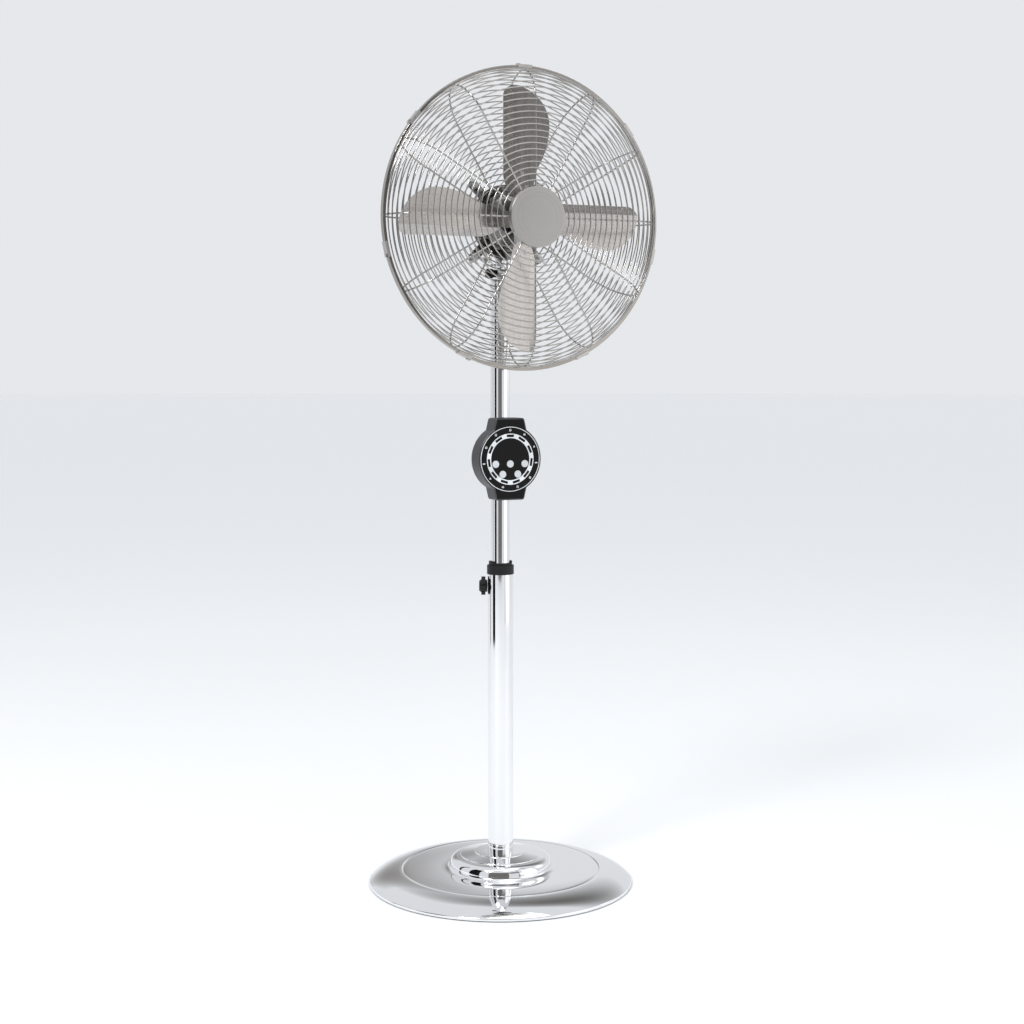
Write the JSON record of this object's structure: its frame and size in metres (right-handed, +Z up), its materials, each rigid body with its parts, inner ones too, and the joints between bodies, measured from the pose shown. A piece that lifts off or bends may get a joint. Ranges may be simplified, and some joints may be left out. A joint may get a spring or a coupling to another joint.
{
  "type": "pedestal fan",
  "caption": "Chrome pedestal fan: round weighted base, telescopic pole with a face-plate control box, tilting and swinging caged head with paddle blades.",
  "frame": {"origin": "on the floor, on the pole's axis, at the centre of the base", "axes": "+Z up along the pole, the fan blows towards -Y, +X to the right of someone facing the fan"},
  "size_m": [0.429, 0.395, 1.2],
  "materials": {
    "chrome": "polished",
    "iron": "painted casting",
    "rubber": "matte",
    "steel": "brushed",
    "nylon": "moulded",
    "black": "matte",
    "gloss": "gloss",
    "white": "printed",
    "board": "solder mask",
    "button": "silver white",
    "brass": "turned",
    "copper": "enamelled wire",
    "aluminium": "cast",
    "wire": "satin nickel",
    "blade": "brushed"
  },
  "bodies": {
    "base": {"base_cover": "chrome", "base_weight": "iron", "base_feet": "rubber", "base_bolt": "steel", "pole_plug": "steel", "outer_tube": "chrome", "guide_bush": "nylon", "height_collar": "black"},
    "height_knob": {"height_knob": "black", "height_screw": "steel"},
    "mast": {"inner_tube": "chrome", "tube_glide": "nylon", "box_band": "steel", "box_rear_shell": "black", "face_panel": "gloss", "face_rings": "white", "scale_windows": "gloss", "control_board": "board", "board_parts": "black", "button_switches": "black", "box_screws": "steel", "cord_gland": "black", "tilt_fork": "chrome", "tilt_bolt": "steel"},
    "tilt_knob": {"tilt_knob": "black"},
    "neck": {"neck_post": "chrome", "neck_bush": "brass"},
    "head": {"motor_mount": "steel", "motor_front_cover": "chrome", "motor_rear_cover": "chrome", "stator_core": "steel", "stator_windings": "copper", "motor_bearings": "brass", "capacitor": "black", "swing_motor": "nylon", "guard_studs": "steel", "wing_nuts": "aluminium", "rear_guard_rings": "wire", "rear_guard_frame": "wire", "front_guard_rings": "wire", "front_guard_frame": "wire", "guard_rim": "wire", "front_disc": "aluminium", "rim_clips": "steel"},
    "rotor": {"motor_shaft": "steel", "rotor_core": "steel", "blade_hub": "steel", "blade_1": "blade", "blade_2": "blade", "blade_3": "blade", "blade_4": "blade", "blade_rivets": "steel", "hub_nut": "steel"},
    "swing_crank": {"swing_crank": "nylon"},
    "swing_link": {"swing_link": "steel"},
    "button_timer": {"button_timer": "button"},
    "button_speed": {"button_speed": "button"},
    "button_swing": {"button_swing": "button"},
    "button_mode": {"button_mode": "button"},
    "button_power": {"button_power": "button"}
  },
  "joints": [
    {"name": "mast_height", "type": "slide", "parent": "base", "child": "mast", "axis": [0, 0, 1], "range_m": [-0.085, 0]},
    {"name": "height_knob_turn", "type": "hinge", "parent": "base", "child": "height_knob", "pos_m": [0, 0, 0.449], "axis": [-0.9063, 0.4226, 0], "range_deg": [0, 360]},
    {"name": "tilt", "type": "hinge", "parent": "mast", "child": "neck", "pos_m": [0, 0, 0.91], "axis": [-1, 0, 0], "range_deg": [-4, 20]},
    {"name": "tilt_knob_turn", "type": "hinge", "parent": "mast", "child": "tilt_knob", "pos_m": [0, 0, 0.91], "axis": [-1, 0, 0], "range_deg": [0, 360]},
    {"name": "swing", "type": "hinge", "parent": "neck", "child": "head", "pos_m": [0, 0, 0.94], "axis": [0, 0, 1], "range_deg": [-40, 40]},
    {"name": "blade_spin", "type": "hinge", "parent": "head", "child": "rotor", "pos_m": [0, -0.072, 0.983], "axis": [0, -1, 0], "continuous": true},
    {"name": "crank_turn", "type": "hinge", "parent": "head", "child": "swing_crank", "pos_m": [0, 0.052, 0.934], "axis": [0, 0, 1], "continuous": true},
    {"name": "link_pivot", "type": "hinge", "parent": "swing_crank", "child": "swing_link", "pos_m": [0.005, 0.052, 0.931], "axis": [0, 0, 1], "continuous": true},
    {"name": "timer_press", "type": "slide", "parent": "mast", "child": "button_timer", "axis": [0, 1, 0], "range_m": [0, 0.0008], "stiffness_N_per_m": 1500, "springref_m": -0.0006},
    {"name": "speed_press", "type": "slide", "parent": "mast", "child": "button_speed", "axis": [0, 1, 0], "range_m": [0, 0.0008], "stiffness_N_per_m": 1500, "springref_m": -0.0006},
    {"name": "swing_press", "type": "slide", "parent": "mast", "child": "button_swing", "axis": [0, 1, 0], "range_m": [0, 0.0008], "stiffness_N_per_m": 1500, "springref_m": -0.0006},
    {"name": "mode_press", "type": "slide", "parent": "mast", "child": "button_mode", "axis": [0, 1, 0], "range_m": [0, 0.0008], "stiffness_N_per_m": 1500, "springref_m": -0.0006},
    {"name": "power_press", "type": "slide", "parent": "mast", "child": "button_power", "axis": [0, 1, 0], "range_m": [0, 0.0008], "stiffness_N_per_m": 1500, "springref_m": -0.0006}
  ],
  "couplings": [
    {"joint": "link_pivot", "follows": "crank_turn", "ratio": -1}
  ]
}
